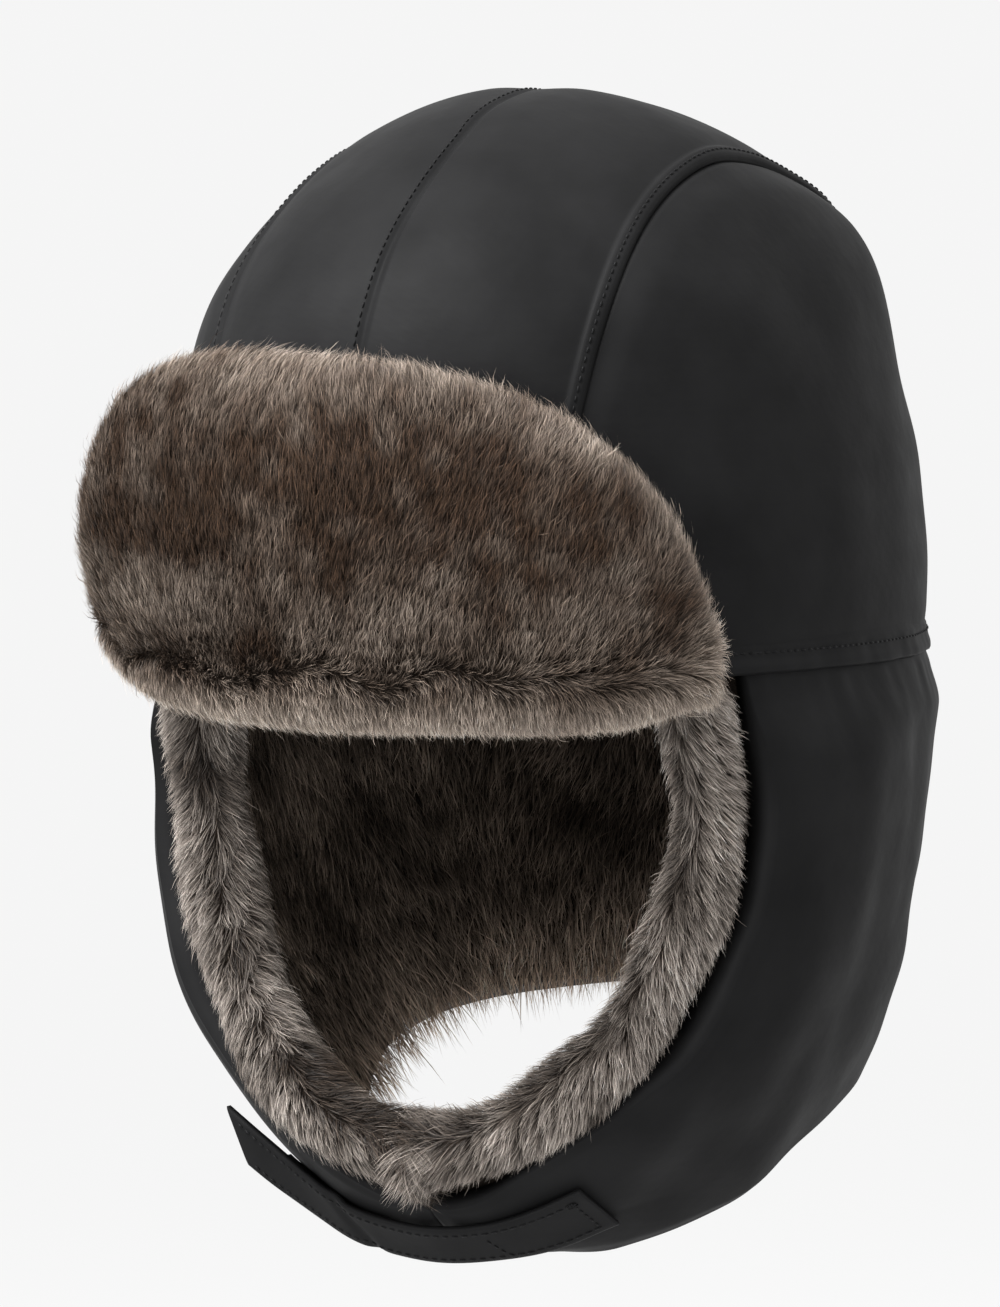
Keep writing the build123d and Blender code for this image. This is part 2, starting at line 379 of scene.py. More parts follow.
def crown_shape(p, n):
    """Fullness of the padded crown: rounder shoulders behind, flatter on top."""
    back = smooth(p[..., 1], -20 * MM, 60 * MM)
    shoulder = np.exp(-((p[..., 2] - 106 * MM) / (24 * MM)) ** 2)
    waist = np.exp(-((p[..., 2] - 45 * MM) / (28 * MM)) ** 2)
    front = smooth(-p[..., 1], 5 * MM, 60 * MM)
    brow = np.exp(-((p[..., 2] - 90 * MM) / (20 * MM)) ** 2)
    top = smooth(p[..., 2], 118 * MM, 148 * MM)
    swell = 5.6 * MM * back * shoulder - 4.2 * MM * (0.6 + 0.4 * back) * top - 0.5 * MM * back * waist
    swell = swell + front * (2.4 * MM * brow - 2.6 * MM * smooth(p[..., 2], 108 * MM, 138 * MM))
    swell = swell - 0.6 * MM * back * smooth(-p[..., 2], -50 * MM, 0)
    soft = 0.9 * MM * bumps(p, 75 * MM, 3) + 0.45 * MM * bumps(p * [1, 1, 1.6], 26 * MM, 4)
    return p + n * (swell + soft)[..., None]


def seam_direction(alpha, beta):
    """alpha runs from the front over the top to the back, beta out to the side."""
    return np.stack([np.sin(beta) * np.ones_like(alpha), -np.cos(beta) * np.cos(alpha),
                     np.cos(beta) * np.sin(alpha)], -1)


def crown_pad(name, d, edge, lap, side, thickness=5.5 * MM, depth=1.4 * MM):
    """One padded panel over directions d; edge is each point's distance from the seams."""
    p = surface(d, depth)
    n = normal(p, depth)
    pillow = 1.0 * MM * smooth(edge, 0, 14 * MM) - 0.8 * MM * (1 - smooth(edge, 0, 2.2 * MM))
    outer = crown_shape(p, n) + n * (pillow + lap)[..., None]
    inner = outer - n * thickness
    if side < 0:
        outer, inner = outer * [-1, 1, 1], inner * [-1, 1, 1]
    return make_object(name, *closed_patch(outer, inner), "crown", "shell_fabric", SHELL), outer, n


def length_along(p):
    """Distance along each row of a grid of points, from its start."""
    step = np.linalg.norm(np.diff(p, axis=1), axis=-1)
    return np.concatenate([np.zeros((p.shape[0], 1)), np.cumsum(step, axis=1)], axis=1)


def seam_beta(alpha):
    return SEAM_ANGLE * (1 - 0.10 * np.sin(np.maximum(alpha - 1.8, 0)) ** 2)


def warp(count, power=1.6):
    """Steps from 0 to 1 that crowd together at both ends, where the seams are."""
    t = np.linspace(-1, 1, count)
    return 0.5 + 0.5 * np.sign(t) * (1 - (1 - np.abs(t)) ** power)


LAP_WIDTH = 4.2 * MM
UNDERLAP = 4.0 * MM        # how far a side panel runs in under the lapped seam
CROWN_START = -0.115       # alpha a little under the brow, behind the brim


def make_crown():
    alpha = np.linspace(CROWN_START, math.pi, 260)[:, None]
    across = warp(90)[None, :]
    beta = seam_beta(alpha) * across
    centre = seam_direction(alpha + 0 * beta, beta)
    reach = length_along(surface(centre))
    from_seam = reach[:, -1:] - reach
    edge = np.minimum(reach, from_seam)
    lap = (0.85 * MM * (1 - smooth(from_seam, LAP_WIDTH, LAP_WIDTH + 1.6 * MM))
           * smooth(from_seam, -0.1 * MM, 0.7 * MM))
    seam = {}
    for side, word in ((1, "left"), (-1, "right")):
        pad, outer, n = crown_pad(f"crown_centre_{word}", centre, edge, lap, side)
        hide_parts(f"crown_centre_panel_{word}", "crown_wadding")
        flipped = n * [side, 1, 1]
        column = np.argmin(np.abs(from_seam - LAP_WIDTH * 0.8), axis=1)
        rows = np.arange(len(column))
        seam[word] = (outer[rows, column], flipped[rows, column])
        if side < 0:
            column = np.argmin(np.abs(reach - 2.2 * MM), axis=1)
            seam["middle"] = (outer[rows, column], flipped[rows, column])
    # side panels: rows run from the lapped seam down to the waist
    s = np.linspace(0, 1, 240)[:, None]
    t = warp(110)[None, :]
    start = SEAM_ANGLE
    top_line = seam_direction(s * math.pi, seam_beta(s * math.pi) - UNDERLAP / HALF_LENGTH)
    theta = start + s * (math.pi - 2 * start)
    low_line = direction(theta, np.full_like(theta, 0.0))
    low_line = low_line.reshape(len(s), 1, 3)
    top_line = top_line.reshape(len(s), 1, 3)
    d = unit(top_line * (1 - t[..., None]) + low_line * t[..., None])
    reach = length_along(surface(d)) - UNDERLAP
    from_waist = reach[:, -1:] - reach
    edge = np.minimum(reach, from_waist + 6 * MM)
    for side, word in ((1, "left"), (-1, "right")):
        pad, outer, n = crown_pad(f"crown_side_{word}", d, edge, -1.5 * MM * (reach < 0), side,
                                  depth=1.9 * MM)
        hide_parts(f"crown_side_panel_{word}")
    return seam


SEAMS = make_crown()


# ---------------------------------------------------------------- the waist band and the skirt

FACE_EDGE = [(-60, 0), (-57, -22), (-52, -46), (-52, -66), (-56, -87), (-62, -113), (-70, -128),
             (-75, -144), (-72, -162)]
HEM_LINE = [(140, -102), (95, -110), (60, -118), (22, -137), (0, -152), (-22, -167), (-44, -178)]


def spline(points, count):
    """Evenly spaced points on a smooth line through the given ones."""
    knots = np.array(points, float)
    length = np.concatenate([[0], np.cumsum(np.linalg.norm(np.diff(knots, axis=0), axis=1))])
    at = np.linspace(0, length[-1], count)
    slope = np.gradient(knots, length, axis=0)
    k = np.clip(np.searchsorted(length, at, side="right") - 1, 0, len(knots) - 2)
    h = (length[k + 1] - length[k])[:, None]
    t = ((at - length[k]) / (length[k + 1] - length[k]))[:, None]
    a, b, ma, mb = knots[k], knots[k + 1], slope[k] * h, slope[k + 1] * h
    return ((2 * t ** 3 - 3 * t ** 2 + 1) * a + (t ** 3 - 2 * t ** 2 + t) * ma
            + (3 * t ** 2 - 2 * t ** 3) * b + (t ** 3 - t ** 2) * mb)


def even(points, count):
    """The same line with its points evenly spaced."""
    length = np.concatenate([[0], np.cumsum(np.linalg.norm(np.diff(points, axis=0), axis=1))])
    at = np.linspace(0, length[-1], count)
    return np.stack([np.interp(at, length, points[:, i]) for i in range(3)], -1)


def on_side(y, z, depth):
    """The egg's point at depth y and height z, on the wearer's left."""
    k = share(z, depth)
    b = (HALF_LENGTH - depth) * k
    inside = np.clip(1 - ((y - lean(z)) / np.maximum(b, 1e-6)) ** 2, 0, 1)
    return np.stack([(HALF_WIDTH - depth) * k * np.sqrt(inside), y, z], -1)


def skirt_edges(depth, lift, top, count=200):
    """The skirt's four edges on the wearer's left: front, back, top and hem, as 3-D lines."""
    face = spline(FACE_EDGE, 400) * MM
    front_y = lean(face[:, 1]) - (HALF_LENGTH - depth) * share(face[:, 1], depth)
    keep = (face[:, 0] > front_y) & (face[:, 1] <= top)
    front = on_side(face[keep, 0], face[keep, 1], depth)
    hem = spline(HEM_LINE, 600) * MM + np.array([0, lift])
    k = share(hem[:, 1], depth)
    y = hem[:, 0] - lean(hem[:, 1])
    hem = hem[np.abs(y) < (HALF_LENGTH - depth) * k]
    hem = on_side(hem[:, 0], hem[:, 1], depth)
    hem[0, 0] = hem[-1, 0] = 0
    chin_z = np.linspace(front[-1, 2], hem[-1, 2], 60)
    chin = np.stack([0 * chin_z, lean(chin_z) - (HALF_LENGTH - depth) * share(chin_z, depth), chin_z], -1)
    front = np.concatenate([front, chin[1:]])
    theta = np.linspace(math.atan2(front[0, 0] / HALF_WIDTH, -front[0, 1] / HALF_LENGTH), math.pi, 300)
    upper = surface(direction(theta, np.full_like(theta, top), depth), depth)
    back_z = np.linspace(top, hem[0, 2], 120)
    back = np.stack([0 * back_z, lean(back_z) + (HALF_LENGTH - depth) * share(back_z, depth), back_z], -1)
    return (even(front, count), even(back, count), even(upper, count), even(hem[::-1], count))


def to_direction(p, depth):
    h = np.where(p[..., 2] >= 0, CROWN_TOP, SKIRT_DEPTH) - depth
    return unit(np.stack([p[..., 0] / (HALF_WIDTH - depth),
                          (p[..., 1] - lean(p[..., 2])) / (HALF_LENGTH - depth), p[..., 2] / h], -1))


def skirt_grid(depth, lift=0.0, top=-4 * MM, rows=150, columns=230):
    """Directions over the left half of the skirt: rows go down, columns go front to back."""
    front, back, upper, hem = (to_direction(e, depth) for e in skirt_edges(depth, lift, top))
    v = np.linspace(0, 1, rows)
    u = np.linspace(0, 1, columns)

    def pick(line, t):
        at = t * (len(line) - 1)
        return np.stack([np.interp(at, np.arange(len(line)), line[:, i]) for i in range(3)], -1)

    f, b = pick(front, v)[:, None], pick(back, v)[:, None]
    t, h = pick(upper, u)[None], pick(hem, u)[None]
    uu, vv = u[None, :, None], v[:, None, None]
    corners = ((1 - uu) * (1 - vv) * f[0, 0] + uu * (1 - vv) * b[0, 0]
               + (1 - uu) * vv * f[-1, 0] + uu * vv * b[-1, 0])
    return unit((1 - uu) * f + uu * b + (1 - vv) * t + vv * h - corners), uu[..., 0], vv[..., 0]


def skirt_shape(p, n, side, front):
    """Padded fullness, gathers under the waist fold and a few long soft creases."""
    below = WAIST_FOLD - p[..., 2]
    theta = np.arctan2(p[..., 0], -p[..., 1])
    low = smooth(below, 25 * MM, 110 * MM)
    chin = smooth(np.abs(theta), 0.7, 1.5)
    full = ((3.4 * chin + 2.6 * low * chin) * MM * smooth(below, 1 * MM, 16 * MM)
            - 1.4 * MM * (1 - smooth(below, -2 * MM, 4 * MM)))
    q = p * [side, 1, 1]
    gather = (0.22 * MM * bumps(q * [1, 1, 0.12], 5.5 * MM, 11) * smooth(below, 0, 3 * MM)
              * (1 - smooth(below, 6 * MM, 22 * MM)))
    crease = bumps(q @ np.array([[1, 0, 0], [0, 0.9, 0.5], [0, -0.5, 0.35]]), 30 * MM, 12)
    soft = 1.5 * MM * crease + 0.5 * MM * bumps(q, 17 * MM, 13) + 1.2 * MM * bumps(q, 80 * MM, 14)
    edge = (4.8 * MM * (1 - smooth(front, 0, 0.30)) * smooth(below, 5 * MM, 25 * MM)
            * smooth(np.abs(theta), 0.55, 0.95))
    return p + n * (full + edge + gather + soft * smooth(below, 2 * MM, 25 * MM))[..., None]


def make_skirt():
    """The outer fabric of the skirt with its wadding, in two halves that meet at the centre back."""
    d, u, v = skirt_grid(0.0)
    p = surface(d, 0.0)
    n = normal(p, 0.0)
    for side, word in ((1, "left"), (-1, "right")):
        outer = skirt_shape(p, n, side, u + 0 * v)
        inner = surface(d, 6 * MM)
        hem = smooth(1 - v, 0, 0.05)[..., None] * smooth(u, 0, 0.03)[..., None]
        outer = outer - n * (1 - hem) * 0.9 * MM
        back = smooth(u, 0.985, 1.0)[..., None]
        outer = outer - n * back * 0.8 * MM
        outer[:, -1, 0] = 0
        inner[:, -1, 0] = 0
        if side < 0:
            outer, inner = outer * [-1, 1, 1], inner * [-1, 1, 1]
        skirt = make_object(f"skirt_{word}", *closed_patch(outer, inner), None, "shell_fabric", SHELL)
        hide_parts(f"earflap_{word}_shell", f"earflap_{word}_wadding", "neck_flap_shell",
                    "neck_flap_wadding")
        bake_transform(skirt)


make_skirt()


def make_band():
    """The lapped, top-stitched fold that overhangs the skirt's top edge."""
    theta = np.linspace(math.radians(57), math.pi * 2 - math.radians(57), 420)[None, :]
    z = np.linspace(4.5, -6.4, 26)[:, None] * MM
    p = surface(direction(theta + 0 * z, z + 0 * theta))
    n = normal(p)
    below = -z / MM
    rise = (-1.9 + 1.6 * smooth(below, -4.5, 0.5) + 0.9 * smooth(below, 1.0, 4.5)
            - 0.35 * np.exp(-((below + 0.2) / 0.7) ** 2))
    wobble = 0.25 * bumps(p, 14 * MM, 21) + 0.15 * bumps(p * [1, 1, .1], 5 * MM, 22)
    rise = rise + wobble * smooth(below, -3, 0) - 1.6 * smooth(below, 5.4, 6.4)
    outer = p + n * (rise * MM)[..., None]
    inner = p - n * 2.6 * MM
    band = make_object("waist_lap", *closed_patch(outer, inner), "crown", "shell_fabric", SHELL)
    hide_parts("waist_band")
    row = np.argmin(np.abs(z[:, 0] + 0.2 * MM))
    return outer[row], n[row]


BAND_LINE = make_band()


def stitches(name, line, normals, body, pitch=2.9 * MM, long=2.1 * MM, wide=0.34 * MM, lift=0.12 * MM):
    """Thread in short stitches along a line of points."""
    length = np.concatenate([[0], np.cumsum(np.linalg.norm(np.diff(line, axis=0), axis=1))])
    starts = np.arange(pitch / 2, length[-1] - pitch, pitch)
    points, faces = [], []

    def at(s):
        return (np.array([np.interp(s, length, line[:, i]) for i in range(3)]),
                unit(np.array([np.interp(s, length, normals[:, i]) for i in range(3)])))

    sides = 6
    for s in starts:
        a, na = at(s)
        b, _ = at(s + long)
        along = unit(b - a)
        cross = unit(np.cross(along, na))
        base = len(points)
        rings = ((0.0, 0.25), (0.15, 0.85), (0.5, 1.0), (0.85, 0.85), (1.0, 0.25))
        for t, fat in rings:
            middle = a * (1 - t) + b * t + na * (lift - wide * 0.9 * (2 * t - 1) ** 4)
            for i in range(sides):
                turn = 2 * math.pi * i / sides
                points.append(middle + (cross * math.cos(turn) + na * math.sin(turn)) * wide * fat)
        for r in range(len(rings) - 1):
            for i in range(sides):
                j = (i + 1) % sides
                faces.append([base + r * sides + i, base + r * sides + j,
                              base + (r + 1) * sides + j, base + (r + 1) * sides + i])
        faces.append([base + i for i in range(sides)][::-1])
        faces.append([base + (len(rings) - 1) * sides + i for i in range(sides)])
    return make_object(name, points, faces, body, "shell_fabric", THREAD)


for word in ("left", "right"):
    stitches(f"stitches_panel_{word}", *SEAMS[word], "crown")
stitches("stitches_centre", *SEAMS["middle"], "crown")
stitches("stitches_waist", *BAND_LINE, "crown")


# ---------------------------------------------------------------- fur

def fast_mesh(name, points, quads, triangles):
    """A mesh object from arrays of corners."""
    mesh = bpy.data.meshes.new(name)
    corners = np.concatenate([quads.reshape(-1), triangles.reshape(-1)]).astype(np.int32)
    starts = np.concatenate([np.arange(len(quads)) * 4, len(quads) * 4 + np.arange(len(triangles)) * 3])
    mesh.vertices.add(len(points))
    mesh.vertices.foreach_set("co", points.astype(np.float32).reshape(-1))
    mesh.loops.add(len(corners))
    mesh.loops.foreach_set("vertex_index", corners)
    mesh.polygons.add(len(starts))
    mesh.polygons.foreach_set("loop_start", starts.astype(np.int32))
    mesh.polygons.foreach_set("use_smooth", [True] * len(starts))
    mesh.update(calc_edges=True)
    obj = bpy.data.objects.new(name, mesh)
    bpy.context.scene.collection.objects.link(obj)
    return obj


def scatter(points, normals, count, seed, extra=(), weight=None):
    """Random places spread evenly over a grid: points, normals and the extra grids there."""
    rng = np.random.default_rng(seed)
    a, b = points[1:, :-1] - points[:-1, :-1], points[:-1, 1:] - points[:-1, :-1]
    area = np.linalg.norm(np.cross(a, b), axis=-1)
    if weight is not None:
        area = area * weight[:-1, :-1]
    chance = area.reshape(-1) / area.sum()
    cell = rng.choice(chance.size, count, p=chance)
    i, j = np.divmod(cell, points.shape[1] - 1)
    s, t = rng.random(count), rng.random(count)

    def at(grid):
        if grid.ndim == 2:
            grid = grid[..., None]
        value = ((grid[i, j].T * (1 - s) * (1 - t) + grid[i + 1, j].T * s * (1 - t)
                  + grid[i, j + 1].T * (1 - s) * t + grid[i + 1, j + 1].T * s * t).T)
        return value[:, 0] if value.shape[1] == 1 else value

    return (at(points), unit(at(normals))) + tuple(at(g) for g in extra)


def mix(a, b, t):
    return np.asarray(a) * (1 - t[:, None]) + np.asarray(b) * t[:, None]


def strands(name, roots, normals, lay, length, stand, colours, seed, width=0.28 * MM,
            clump=4 * MM, pull=0.45, stray=0.30):
    """Hair as tapered ribbons: stand is 0 lying along lay, 1 upright; colours are root, middle, tip."""
    rng = np.random.default_rng(seed)
    count = len(roots)
    flat = unit(lay - normals * np.sum(lay * normals, axis=-1, keepdims=True))
    side = np.cross(normals, flat)
    turn = rng.normal(0, stray, count)[:, None]
    flat = flat * np.cos(turn) + side * np.sin(turn)
    guard = rng.random(count) < 0.38
    length = (length * np.where(guard, rng.uniform(0.95, 1.32, count), rng.uniform(0.6, 1.0, count))
              * np.where(rng.random(count) < 0.05, 1.35, 1))[:, None]
    stand = np.clip(stand + rng.normal(0, 0.13, count), 0.05, 1)[:, None]
    steps = np.array([0, 0.36, 0.70, 1.0])
    line = [roots + length * (normals * stand * t * (1 - 0.35 * t)
                              + flat * ((1 - stand) * t + 0.35 * t * t)) for t in steps]
    wander = roots + 0.35 * clump * np.stack([bumps(roots, 3 * clump, seed + k) for k in (5, 6, 7)], -1)
    cell = np.floor(wander / clump).astype(np.int64) + 4096
    _, group = np.unique(cell[:, 0] * 8192 ** 2 + cell[:, 1] * 8192 + cell[:, 2], return_inverse=True)
    size = np.maximum(np.bincount(group), 1)
    middle = np.stack([np.bincount(group, line[-1][:, k]) / size for k in range(3)], -1)[group]
    strength = pull * rng.uniform(0.4, 1.3, count)[:, None]
    line = [p + (middle - line[-1]) * strength * t * t for p, t in zip(line, steps)]
    along = unit(line[-1] - line[0])
    across = unit(np.cross(along, normals) + 0.55 * rng.normal(size=(count, 3)))
    fat = width * rng.uniform(0.7, 1.3, count)[:, None] / 2
    rows = []
    for p, thick in zip(line[:-1], (0.9, 1.0, 0.66)):
        rows += [p - across * fat * thick, p + across * fat * thick]
    points = np.stack(rows + [line[-1]], axis=1).reshape(-1, 3)
    start = np.arange(count)[:, None] * 7
    quads = np.concatenate([start + [0, 1, 3, 2], start + [2, 3, 5, 4]], axis=1).reshape(-1, 4)
    obj = fast_mesh(name, points, quads, start + [4, 5, 6])
    root, body, tip = colours
    shade = (rng.lognormal(0, 0.25, count) * np.where(guard, 1.25, 0.75))[:, None]
    tip = np.where(guard[:, None], tip, tip * 0.45 + body * 0.55)
    tint = [root * shade, (root * 0.45 + body * 0.55) * shade,
            (body * 0.72 + tip * 0.28) * shade, tip * shade]
    tint = np.stack([tint[0], tint[0], tint[1], tint[1], tint[2], tint[2], tint[3]], axis=1)
    tint = np.clip(np.concatenate([tint, np.ones((count, 7, 1))], axis=-1), 0, 1)
    layer = obj.data.color_attributes.new("Hair", "FLOAT_COLOR", "POINT")
    layer.data.foreach_set("color", tint.astype(np.float32).reshape(-1))
    # every hair has its own small cell of the bake's map
    cells = math.ceil(math.sqrt(count))
    corner = np.array([[.2, .05], [.8, .05], [.2, .35], [.8, .35], [.25, .7], [.75, .7], [.5, .95]])
    own = np.stack([np.arange(count) % cells, np.arange(count) // cells], -1)[:, None]
    place = ((own + corner[None]) / cells).reshape(-1, 2)
    corners = np.empty(len(obj.data.loops), np.int32)
    obj.data.loops.foreach_get("vertex_index", corners)
    uv = obj.data.uv_layers.new(name="OFBake")
    uv.data.foreach_set("uv", place[corners].astype(np.float32).reshape(-1))
    return obj


# ---------------------------------------------------------------- the brim

BRIM_ENDS = (-57.0, 55.0)      # degrees round from the front
BRIM_TOP_LINE = [(-57, 44), (-54, 61), (-49, 72), (-40, 79), (-30, 82), (-19, 83), (-2, 82), (12, 80),
                 (17, 78), (25, 74), (32.5, 68), (37.6, 62), (42.8, 54), (48, 43), (51, 29), (54.5, 8)]
BRIM_FOOT_LINE = [(-57, 10), (-53, 1), (-49, -7), (-44, -12), (-36, -15.5), (-20, -19), (0, -20.5),
                  (35, -20.5), (45, -19), (54.5, -13)]
ROLL_HEIGHT = 13 * MM          # from the brim's foot up to where its hair parts


def profile(line, x):
    table = np.array(line, float)
    fine = np.interp(x, table[:, 0], table[:, 1])
    for shift in (-2.0, 2.0):
        fine = fine + np.interp(x + shift, table[:, 0], table[:, 1])
    return fine / 3


def brim_grid(inset_top, inset_foot, inset_end, rows=110, columns=220):
    u = np.linspace(-1, 1, columns)[None, :]
    v = np.linspace(0, 1, rows)[:, None]
    low, high = BRIM_ENDS[0] + inset_end, BRIM_ENDS[1] - inset_end
    degrees = low + (high - low) * (u + 1) / 2
    wide = np.clip(degrees * (BRIM_ENDS[1] / high), *BRIM_ENDS)
    foot = profile(BRIM_FOOT_LINE, wide) * MM + inset_foot
    top = np.maximum(profile(BRIM_TOP_LINE, wide) * MM - inset_top, foot + 4 * MM)
    z = foot + (top - foot) * v
    return np.radians(degrees) + 0 * v, z, u + 0 * v, v + 0 * u, z - foot - ROLL_HEIGHT


def brim_skin(theta, z, u, v, above):
    """The fur fabric's surface under the hair, standing off the crown."""
    edge_v = 1 - np.where(v > 0.5, np.abs(2 * v - 1) ** 3.0, np.abs(2 * v - 1) ** 5)
    edge_u = 1 - np.abs(u) ** 9
    bulge = np.sqrt(np.clip(edge_v, 0, 1)) * np.sqrt(np.clip(edge_u, 0, 1))
    crease = np.exp(-(above / (5.5 * MM)) ** 2)
    corner = 3.8 * MM * smooth(-u, 0.45, 0.9) * smooth(v, 0.2, 0.6)
    tuck = 0.5 * MM * smooth(-u, 0.5, 1.0) * (1 - smooth(v, 0.05, 0.5))
    stand = 4 * MM + (16.0 * MM + corner - tuck) * bulge - 0.9 * MM * crease * np.clip(bulge * 1.4, 0, 1)
    p = surface(direction(theta, z))
    n = normal(p)
    stand = stand + (0.9 * MM * bumps(p, 24 * MM, 31) + 0.5 * MM * bumps(p, 8 * MM, 32)) * bulge
    return p + n * stand[..., None], n


def grid_normals(points, outward):
    du = np.gradient(points, axis=1)
    dv = np.gradient(points, axis=0)
    n = unit(np.cross(du, dv))
    return n * np.where(np.sum(n * outward, axis=-1, keepdims=True) < 0, -1, 1)


def make_brim():
    theta, z, u, v, above = brim_grid(7 * MM, 4 * MM, 2.6)
    skin, n = brim_skin(theta, z, u, v, above)
    back = surface(direction(theta, z), -3.4 * MM)
    pad = make_object("brim_fur_pad", *closed_patch(skin, back), "brim", "trim_fur", BROWN_BACKING)
    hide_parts("brim_fur")
    out = grid_normals(skin, n)
    for part_number, word in enumerate(("far_right", "right", "left", "far_left")):
        low = part_number / 2 - 1
        high = low + 0.5 + 0.01 * (part_number == 3)
        part = ((u >= low) & (u < high)).astype(float)
        root, rn, round_at, height, ru, rv = scatter(skin, out, BRIM_HAIRS, 40 + part_number,
                                                     (theta, above, u, v), part)
        up = np.tile(UP, (len(root), 1))
        around = np.stack([np.cos(round_at), np.sin(round_at), 0 * round_at], -1)
        below = 1 - smooth(height + 3.2 * MM * bumps(root, 16 * MM, 52), -9 * MM, 7 * MM)
        sweep = 0.28 * bumps(root, 40 * MM, 51) + 0.25 + 1.5 * np.sign(ru) * smooth(np.abs(ru), 0.80, 1.0)
        lay = (up * (1 - 1.9 * below + 0.15 * bumps(root, 10 * MM, 53))[:, None]
               + around * (sweep * (1 - 0.6 * below))[:, None])
        patch = bumps(root * [1, 1, 1.2], 20 * MM, 61) * 0.6 + bumps(root, 7 * MM, 62) * 0.5
        rim = np.maximum(smooth(rv, 0.74, 0.98), smooth(np.abs(ru), 0.86, 1.0))
        foot = below * smooth(-height, 1 * MM, 8 * MM)
        light = np.clip(0.04 + 0.34 * patch + 0.56 * rim + 0.88 * foot
                        + 0.36 * (1 - smooth(height, 12 * MM, 32 * MM)), 0, 1.3)
        tip = mix((0.115, 0.066, 0.039), (0.55, 0.47, 0.40), light)
        body = mix((0.022, 0.0130, 0.0082), (0.125, 0.092, 0.068), light)
        root_tint = mix((0.006, 0.004, 0.0028), (0.02, 0.014, 0.010), light)
        length = (8.6 + 2.8 * rim) * MM
        hair = strands(f"brim_hair_{word}", root, rn, lay, length,
                       0.66 + 0.06 * rim + 0.16 * np.exp(-(height / (4 * MM)) ** 2),
                       (root_tint, body, tip), 70 + 10 * part_number, width=0.18 * MM,
                       clump=3.0 * MM, pull=0.5, stray=0.42)
        hair.data.materials.append(BRIM_HAIR)
        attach(hair, "brim")
    theta, z, u, v, above = brim_grid(5 * MM, 3 * MM, 2.0, rows=50, columns=120)
    d = direction(theta, z)
    shell = make_object("brim_back", *closed_patch(surface(d, -3.8 * MM), surface(d, 0.5 * MM)), "brim",
                        "shell_fabric", SHELL)
    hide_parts("brim_shell", "brim_stiffener")


make_brim()


# ---------------------------------------------------------------- fur along the face opening

def trim_path(count=150):
    """The middle of the fur trim along the left flap's front edge, from the brow to the chin."""
    face = spline(FACE_EDGE, 400) * MM
    depth = 12.5 * MM
    front_y = lean(face[:, 1]) - (HALF_LENGTH - depth) * share(face[:, 1], depth)
    face = face[(face[:, 0] > front_y) & (face[:, 1] < -9 * MM)]
    path = on_side(face[:, 0], face[:, 1], depth)
    path = path[path[:, 0] > 3 * MM]
    end = path[-1] * [0, 1, 1] + [0, 0.5 * MM, -1.5 * MM]
    path = even(np.concatenate([path, [end]]), count)
    drop = 3.5 * MM * smooth(np.linspace(0, 1, count), 0.5, 0.85)
    return path - drop[:, None] * [0, 0, 1], depth


